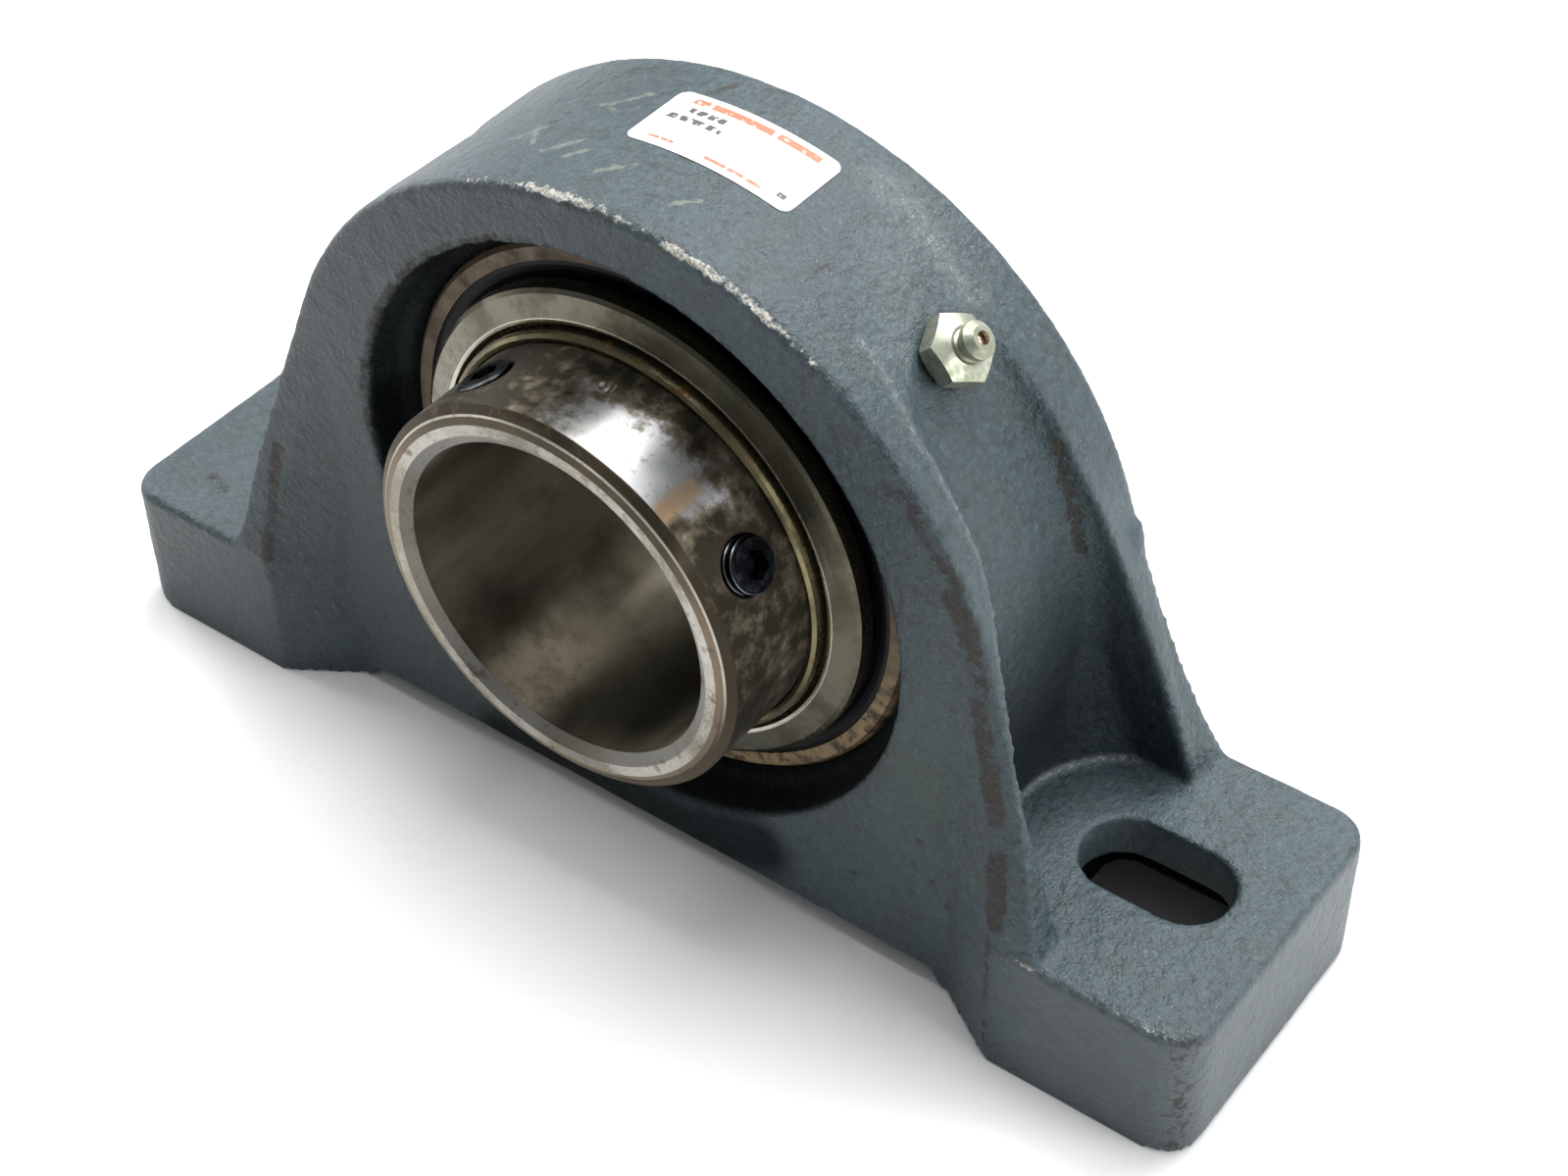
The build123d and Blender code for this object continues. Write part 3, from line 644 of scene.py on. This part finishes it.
PLATE_OLIVE_DARK = (0.07, 0.064, 0.04)
PLATE_REFLECTION_BEIGE = (0.165, 0.157, 0.128)
PLATE_REFLECTION_BEIGE_DARK = (0.09, 0.082, 0.057)
FLINGER_PAINTED_SHADE = (0.045, 0.042, 0.027)
LIP_GOLD = (0.17, 0.145, 0.08)
LIP_GOLD_DARK = (0.085, 0.072, 0.04)
LIP_RUST = (0.22, 0.09, 0.03)
PLATE_FLECK = (0.08, 0.06, 0.035)
LIP_RIM_HIGHLIGHT = (0.6, 0.58, 0.5)
LIP_GROOVE = (0.03, 0.026, 0.016)
ZINC_LIGHT = (0.38, 0.4, 0.32)
ZINC_DARK = (0.22, 0.235, 0.17)
ZINC_SPOT = (0.2, 0.2, 0.16)
PAPER = (0.7, 0.69, 0.66)
PAPER_STAINED = (0.58, 0.55, 0.49)
PRINT_ORANGE = (0.5, 0.09, 0.03)
PRINT_BLACK = (0.02, 0.02, 0.02)
HOLE_EDGE = (0.02, 0.02, 0.02)


def turned(s, radius, along, cos_x, cos_z, density=2600):
    """Fine lines that run round the bore, as from a lathe tool."""
    ring = s.join(s.times(cos_x, 0.012), s.plus(along, radius), s.times(cos_z, 0.012))
    return s.noise(density, 3, 0.6, ring)


def screw_place(s, radius, along, cos_x, cos_z, angle):
    """Thread height on a set screw's axis, 0 to 1 once per pitch, and distance from that axis."""
    turn = math.radians(angle)
    part = s.plus(s.times(cos_x, math.sin(turn)), s.times(cos_z, math.cos(turn)))
    side = s.minus(s.times(cos_x, math.cos(turn)), s.times(cos_z, math.sin(turn)))
    side = s.times(radius, side)
    off = s.minus(along, SCREW_Y)
    away = s.length(side, off)
    turns = s.over(s.times(radius, part), SCREW_PITCH)
    turns = s.plus(turns, s.over(s.math("ARCTAN2", side, off), 2 * math.pi))
    crest = s.math("PINGPONG", turns, 0.5)
    return s.times(crest, 2.0), s.plus(away, s.step(part, 0.1, 0.0))


def bore_colour(s, cos_x, cos_z, along, turn, clouds):
    """Dark and brown, with soft painted highlight streaks along the bore and a painted highlight patch low
    on the left.
    """
    cloud, blotch, mark = clouds
    # painted highlight streaks along the bore
    painted_streak = s.noise(2.2, 4, 0.5, s.join(cos_x, s.times(along, 9.0), cos_z))
    bore = s.mix(s.step(cloud, 0.35, 0.68), BORE_BROWN, BORE_DARK)
    bore = s.mix(s.step(painted_streak, 0.45, 0.7, 0.0, 0.8), bore, BORE_PAINTED_STREAK)
    bore = s.mix(s.step(mark, 0.6, 0.75, 0.0, 0.4), bore, BORE_MARK)
    # painted highlight patch low on the left of the bore
    painted_highlight = s.times(s.step(s.away(turn, -2.75), 0.34, 0.1), s.step(along, -0.012, -0.03))
    return s.mix(s.times(painted_highlight, s.step(blotch, 0.3, 0.6, 0.35, 0.9)), bore, BORE_PAINTED_HIGHLIGHT)


def collar_soil_and_shade(s, along, turn, clouds):
    """How brown the collar is: clean near the top, soiled towards the flinger, and painted shade down both
    sides that narrows the highlight.
    """
    cloud, blotch, _ = clouds
    toward_seal = s.step(along, -0.036, -0.0235)
    # painted shade down both sides of the collar, leaving a clean band where the highlight falls
    painted_shade_off_top = s.step(s.away(turn, 0.39), 0.16, 0.56)
    soil_and_shade = s.larger(s.times(toward_seal, 0.9), painted_shade_off_top)
    soil_and_shade = s.plus(soil_and_shade, s.times(s.minus(blotch, 0.5), 1.5))
    return s.plus(soil_and_shade, s.times(s.minus(cloud, 0.5), 1.2))


def collar_colour(s, along, turn, clouds, soil_and_shade):
    """Bright steel, soiled brown and darkened with painted shade, with a painted warm reflection on the
    upper right.
    """
    cloud, blotch, mark = clouds
    collar = s.mix(s.step(cloud, 0.35, 0.7), COLLAR_BRIGHT, COLLAR_DULL)
    collar = s.mix(s.step(soil_and_shade, 0.2, 0.75), collar, COLLAR_SOIL_AND_SHADE)
    collar = s.mix(s.step(soil_and_shade, 0.68, 1.05), collar, COLLAR_DEEP_SOIL_AND_SHADE)
    collar = s.mix(s.step(mark, 0.58, 0.72, 0.0, 0.55), collar, COLLAR_MARK)
    # painted warm reflection on the upper right of the collar
    warm = s.times(s.step(s.away(turn, 0.66), 0.07, 0.02), s.step(s.away(along, -0.0355), 0.0065, 0.004))
    return s.mix(s.times(warm, s.step(blotch, 0.25, 0.5, 0.3, 0.9)), collar, COLLAR_PAINTED_REFLECTION)


def screw_hole_colour(s, collar, radius, along, cos_x, cos_z, angle):
    """Thread and painted shade at one set screw's hole, laid over the collar's colour."""
    crest, away = screw_place(s, radius, along, cos_x, cos_z, angle)
    wall = s.mix(s.step(crest, 0.35, 0.8), THREAD_DARK, THREAD_LIGHT)
    # painted shade round the hole, where its countersink lies
    collar = s.mix(s.step(away, 0.0085, 0.0055, 0.0, 0.55), collar, HOLE_PAINTED_SHADE)
    collar = s.mix(s.step(away, 0.0056, 0.0052), collar, HOLE_EDGE)
    return s.mix(s.step(away, 0.00495, 0.00488), collar, wall)


def face_colour(s, radius, cos_x, cos_z, lines, clouds):
    """Turned end face: rings of tan and brown toward its rim, stains, and painted shade on the lower right
    of the rim.
    """
    cloud, blotch, _ = clouds
    face = s.mix(s.step(cloud, 0.4, 0.66), FACE_BRIGHT, FACE_DULL)
    face = s.mix(s.step(lines, 0.4, 0.62, 0.0, 0.5), face, FACE_LINE)
    tan = s.mix(s.step(cos_z, 0.3, 0.8), FACE_TAN_LOW, FACE_TAN_TOP)
    rings = [(0.0331, 0.03295, FACE_INNER_EDGE), (0.03495, 0.0351, tan),
             (0.03625, 0.0364, FACE_PALE_RING), (0.03665, 0.0368, FACE_DARK_RIM)]
    for start, full, colour in rings:
        face = s.mix(s.step(radius, start, full), face, colour)
    face = s.mix(s.step(blotch, 0.54, 0.68, 0.0, 0.75), face, FACE_STAIN)
    face = s.mix(s.step(s.noise(45, 3), 0.52, 0.64, 0.0, 0.45), face, FACE_CLOUD)
    # painted shade on the lower right of the end face's rim
    low_right = s.step(s.minus(cos_x, cos_z), 0.9, 1.35)
    return s.mix(s.times(s.step(radius, 0.0358, 0.0362), low_right), face, FACE_SHADE)


def inner_ring_steel():
    """Turned steel: bright and stained outside, dark in the bore."""
    s = Shader("tarnished_steel", Metallic=1.0, Anisotropic=0.9, Anisotropic_Rotation=0.25)
    around = s.node("ShaderNodeTangent", direction_type="RADIAL", axis="Y")
    s.set("Tangent", around.outputs[0])
    radius, along, cos_x, cos_z = s.about_bore()
    turn = s.math("ARCTAN2", cos_x, cos_z)
    lines = turned(s, radius, along, cos_x, cos_z)
    blotch = s.noise(240, 5, 0.65)
    clouds = (s.noise(70, 5, 0.62), blotch, s.noise(620, 4, 0.7))
    soil_and_shade = collar_soil_and_shade(s, along, turn, clouds)
    collar = collar_colour(s, along, turn, clouds, soil_and_shade)
    for angle in SCREW_ANGLES.values():
        collar = screw_hole_colour(s, collar, radius, along, cos_x, cos_z, angle)
    on_face = s.step(along, COLLAR_END_Y + 0.0001, COLLAR_END_Y - 0.0001)
    in_bore = s.step(radius, BORE_RADIUS + 0.0001, BORE_RADIUS - 0.00002)
    colour = s.mix(on_face, collar, face_colour(s, radius, cos_x, cos_z, lines, clouds))
    colour = s.mix(in_bore, colour, bore_colour(s, cos_x, cos_z, along, turn, clouds))
    specks = s.step(s.noise(1500, 2, 0.5), 0.68, 0.73)
    s.set("Base Color", s.mix(s.times(specks, 0.6), colour, RUST_SPECK))
    wear = s.times(s.step(soil_and_shade, 0.3, 0.9), 0.16)
    plain = s.plus(s.plus(0.34, wear), s.times(lines, 0.07))
    flat = s.plus(s.times(on_face, 0.08), s.times(in_bore, 0.04))
    s.set("Roughness", s.plus(plain, flat))
    s.set("Normal", s.bump(lines, 0.12, 0.00012, s.bump(blotch, 0.08, 0.0002)))
    return s


def threaded_oxide(name, angle):
    """Blackened set screw: bright crests on its flank, dull black ends."""
    s = Shader(name, Metallic=1.0)
    radius, along, cos_x, cos_z = s.about_bore()
    crest, away = screw_place(s, radius, along, cos_x, cos_z, angle)
    flank = s.step(away, 0.0042, 0.0046)
    worn = s.step(s.noise(900, 3, 0.6), 0.35, 0.6, 0.55, 1.0)
    thread = s.mix(s.times(s.step(crest, 0.45, 0.85), worn), CREST_DARK, CREST_LIGHT)
    black = s.mix(s.step(s.noise(500, 3), 0.45, 0.75), OXIDE_DARK, OXIDE_LIGHT)
    s.set("Base Color", s.mix(flank, black, thread))
    s.set("Roughness", s.step(flank, 0.0, 1.0, 0.5, 0.32))
    s.set("Normal", s.bump(s.times(crest, flank), 0.9, 0.0007))
    return s


def race_steel():
    """Outer ring: brown rust, tan on its lower half."""
    s = Shader("rusty_race", Metallic=0.55)
    _, _, _, cos_z = s.about_bore()
    blotch = s.noise(300, 5, 0.7)
    colour = s.mix(s.step(s.noise(120, 4), 0.4, 0.65), RACE_RUST, RACE_DARK)
    colour = s.mix(s.step(blotch, 0.57, 0.7, 0.0, 0.85), colour, RACE_SPOT)
    low = s.step(cos_z, 0.1, -0.5, 0.12, 0.9)
    tan = s.mix(s.step(s.noise(200, 3), 0.4, 0.65), RACE_TAN, RACE_TAN_DARK)
    colour = s.mix(s.times(low, s.step(s.noise(420, 4, 0.6), 0.38, 0.56)), colour, tan)
    s.set("Base Color", colour)
    s.set("Roughness", s.step(blotch, 0.3, 0.7, 0.5, 0.75))
    s.set("Normal", s.bump(blotch, 0.25, 0.0002))
    return s


def flinger_plate(name):
    """Plated ring: brass-coloured lip, a painted highlight on its edge, a dark groove, spots of rust, a
    painted reflection on the lower left and painted shade on the upper right.
    """
    s = Shader(name, Metallic=0.9)
    radius, along, cos_x, cos_z = s.about_bore()
    lines = turned(s, radius, along, cos_x, cos_z, 1500)
    stain = s.noise(110, 5, 0.65)
    fleck = s.noise(520, 4, 0.7)
    # painted reflection: lighter beige on the lower left of the flinger
    painted_reflection_lower_left = s.times(s.step(s.plus(cos_x, cos_z), 0.25, -0.6), 0.8)
    colour = s.mix(s.step(stain, 0.42, 0.66), PLATE_OLIVE, PLATE_OLIVE_DARK)
    pale = s.mix(s.step(fleck, 0.4, 0.65), PLATE_REFLECTION_BEIGE, PLATE_REFLECTION_BEIGE_DARK)
    colour = s.mix(painted_reflection_lower_left, colour, pale)
    # painted shade on the upper right of the flinger
    painted_shade_upper_right = s.step(s.plus(cos_x, cos_z), 0.55, 1.2, 0.0, 0.55)
    colour = s.mix(painted_shade_upper_right, colour, FLINGER_PAINTED_SHADE)
    lip = s.step(radius, 0.0417, 0.0413)
    gold = s.mix(s.step(stain, 0.4, 0.65), LIP_GOLD, LIP_GOLD_DARK)
    colour = s.mix(lip, colour, gold)
    rust = s.times(lip, s.step(s.noise(210, 5, 0.7), 0.56, 0.66))
    colour = s.mix(rust, colour, LIP_RUST)
    colour = s.mix(s.step(fleck, 0.6, 0.72, 0.0, 0.75), colour, PLATE_FLECK)
    # painted highlight along the edge of the lip
    rim = s.times(s.step(radius, 0.0413, 0.04145), s.step(radius, 0.0421, 0.04195))
    colour = s.mix(s.times(rim, 0.75), colour, LIP_RIM_HIGHLIGHT)
    groove = s.times(s.step(radius, 0.0403, 0.0405), s.step(radius, 0.0412, 0.041))
    colour = s.mix(s.times(groove, 0.8), colour, LIP_GROOVE)
    s.set("Base Color", colour)
    s.set("Roughness", s.plus(s.step(stain, 0.3, 0.7, 0.2, 0.36), s.times(rust, 0.3)))
    s.set("Normal", s.bump(lines, 0.1, 0.0001, s.bump(fleck, 0.12, 0.00015)))
    return s


def zinc():
    """Dull yellowish zinc on the grease nipple."""
    s = Shader("zinc_plate", Metallic=0.85)
    cloud = s.noise(420, 4, 0.6)
    colour = s.mix(s.step(cloud, 0.35, 0.65), ZINC_LIGHT, ZINC_DARK)
    s.set("Base Color", s.mix(s.step(s.noise(900, 3, 0.6), 0.6, 0.72, 0.0, 0.6), colour, ZINC_SPOT))
    s.set("Roughness", s.step(cloud, 0.3, 0.7, 0.3, 0.48))
    s.set("Normal", s.bump(s.noise(1400, 3), 0.15, 0.0002))
    return s


# printed rows on the label, mm: place along y, half width, from, to, pitch, and filled share of the pitch
ORANGE_ROWS = [(10.6, 0.8, -6.8, 18.5, 13.0, 0.92), (-1.3, 0.35, -8.0, -2.0, 3.1, 0.8),
               (-1.6, 0.4, 4.0, 15.5, 4.2, 0.85)]
BLACK_ROWS = [(7.9, 0.75, -6.5, 1.5, 2.1, 0.68), (5.3, 0.75, -8.5, 2.5, 2.4, 0.7),
              (-0.6, 0.6, 18.2, 19.8, 5.0, 1.0)]


def label_stock():
    """White label with plain printed rules and dashes, and no lettering."""
    s = Shader("label_stock", Roughness=0.55)
    x, y, z = s.split()
    up = s.minus(z, ARCH_Z / 1000)
    across = s.times(s.math("ARCTAN2", x, up), ARCH_RADIUS)   # mm along the arch
    depth = s.times(y, 1000.0)

    def dashes(row_y, half, low, high, pitch, fill):
        row = s.step(s.away(depth, row_y), half + 0.06, half - 0.06)
        inside = s.times(s.step(across, low - 0.1, low + 0.1), s.step(across, high + 0.1, high - 0.1))
        uneven = s.plus(across, s.times(s.noise(420, 2, 0.5), 3.2))
        phase = s.math("FRACT", s.over(s.plus(uneven, 40.0), pitch))
        gaps = s.step(phase, fill + 0.03, fill - 0.03)
        return s.times(s.times(inside, gaps), row)

    def printed(rows):
        ink = dashes(*rows[0])
        for row in rows[1:]:
            ink = s.larger(ink, dashes(*row))
        return ink

    fade = s.step(s.noise(900, 3, 0.6), 0.26, 0.42)
    paper = s.mix(s.step(s.noise(160, 4), 0.5, 0.75, 0.0, 0.5), PAPER, PAPER_STAINED)
    paper = s.mix(s.times(s.times(printed(ORANGE_ROWS), fade), 0.95), paper, PRINT_ORANGE)
    paper = s.mix(s.times(s.times(printed(BLACK_ROWS), fade), 0.95), paper, PRINT_BLACK)
    s.set("Base Color", paper)
    s.set("Normal", s.bump(s.noise(220, 3), 0.15, 0.0004))
    return s


dress(NODES["inner_ring"], inner_ring_steel())
dress(NODES["outer_ring"], race_steel())
pressed = Shader("pressed_sheet", Base_Color=(0.5, 0.5, 0.48), Metallic=1.0, Roughness=0.3)
nitrile = Shader("nitrile", Base_Color=(0.002, 0.002, 0.004), Roughness=0.55, Specular_IOR_Level=0.2)
polished = Shader("polished_steel", Base_Color=(0.62, 0.62, 0.62), Metallic=1.0, Roughness=0.15)
copper_ball = Shader("check_ball", Base_Color=(0.75, 0.45, 0.36), Metallic=1.0, Roughness=0.25)
for side in ("front", "rear"):
    dress(NODES[side + "_flinger"], flinger_plate(side + "_flinger_plate"))
    dress(NODES[side + "_seal_insert"], pressed)
    dress(NODES[side + "_cage_half"], pressed)
    dress(NODES[side + "_seal_lip"], nitrile)
for plain in ("lock_pin", "balls", "cage_rivets", "grease_nipple_spring"):
    dress(NODES[plain], polished)
for screw, angle in SCREW_ANGLES.items():
    dress(NODES[screw], threaded_oxide(screw + "_oxide", angle))
dress(NODES["grease_nipple_ball"], copper_ball)
dress(NODES["grease_nipple_body"], zinc())
dress(NODES["paper_label"], label_stock())


# ------------------------------------------------------------------ floor, light and camera

def add_floor():
    """Large pale floor just under the feet."""
    bpy.ops.mesh.primitive_plane_add(size=12.0, location=(0, 0, -0.0002))
    floor = bpy.context.object
    floor.name = "floor"
    dress(floor, Shader("pale_floor", Base_Color=(0.84, 0.84, 0.835), Roughness=0.9))


def add_light(name, place, target, size, power):
    """Rectangular lamp turned towards a point."""
    data = bpy.data.lights.new(name, "AREA")
    data.shape = "RECTANGLE"
    data.size, data.size_y = size
    data.energy = power
    lamp = bpy.data.objects.new(name, data)
    bpy.context.scene.collection.objects.link(lamp)
    lamp.location = place
    lamp.rotation_euler = (Vector(target) - Vector(place)).to_track_quat("-Z", "Y").to_euler()


def add_world(front, back):
    """Pale room, darker in front of the object than behind it."""
    world = bpy.data.worlds.new("studio")
    world.use_nodes = True
    tree = world.node_tree
    sky = tree.nodes["Background"]
    sky.inputs["Color"].default_value = (0.95, 0.98, 1.0, 1.0)
    where = tree.nodes.new("ShaderNodeTexCoord")
    parts = tree.nodes.new("ShaderNodeSeparateXYZ")
    fade = tree.nodes.new("ShaderNodeMapRange")
    for socket, value in (("From Min", -0.6), ("From Max", 0.5), ("To Min", front), ("To Max", back)):
        fade.inputs[socket].default_value = value
    tree.links.new(where.outputs["Generated"], parts.inputs[0])
    tree.links.new(parts.outputs["Y"], fade.inputs["Value"])
    tree.links.new(fade.outputs[0], sky.inputs["Strength"])
    bpy.context.scene.world = world


def add_camera():
    """Camera at the place and lens solved from the photo."""
    forward = Vector(CAMERA_FORWARD).normalized()
    up = Vector(CAMERA_UP)
    right = forward.cross(up).normalized()
    up = right.cross(forward)
    data = bpy.data.cameras.new("camera")
    data.sensor_width = 36.0
    data.lens = LENS_MM
    data.clip_start, data.clip_end = 0.01, 50.0
    camera = bpy.data.objects.new("camera", data)
    bpy.context.scene.collection.objects.link(camera)
    turn = Matrix((right, up, -forward)).transposed().to_4x4()
    camera.matrix_world = Matrix.Translation(CAMERA_PLACE) @ turn
    bpy.context.scene.camera = camera


add_floor()
add_world(0.3, 0.75)
add_light("back_top", (0.05, 0.85, 1.1), (0, 0.02, 0.05), (1.3, 1.0), 20)
add_light("overhead", (0.03, 0.3, 1.2), (0.03, 0.0, 0.05), (0.42, 1.0), 13)
add_light("left_side", (-1.3, 0.15, 0.8), (0, 0, 0.03), (0.9, 0.9), 17)
add_light("right_side", (1.3, 0.15, 0.6), (0, 0, 0.06), (0.9, 0.9), 12)
add_camera()
bpy.context.scene.view_settings.view_transform = "Standard"
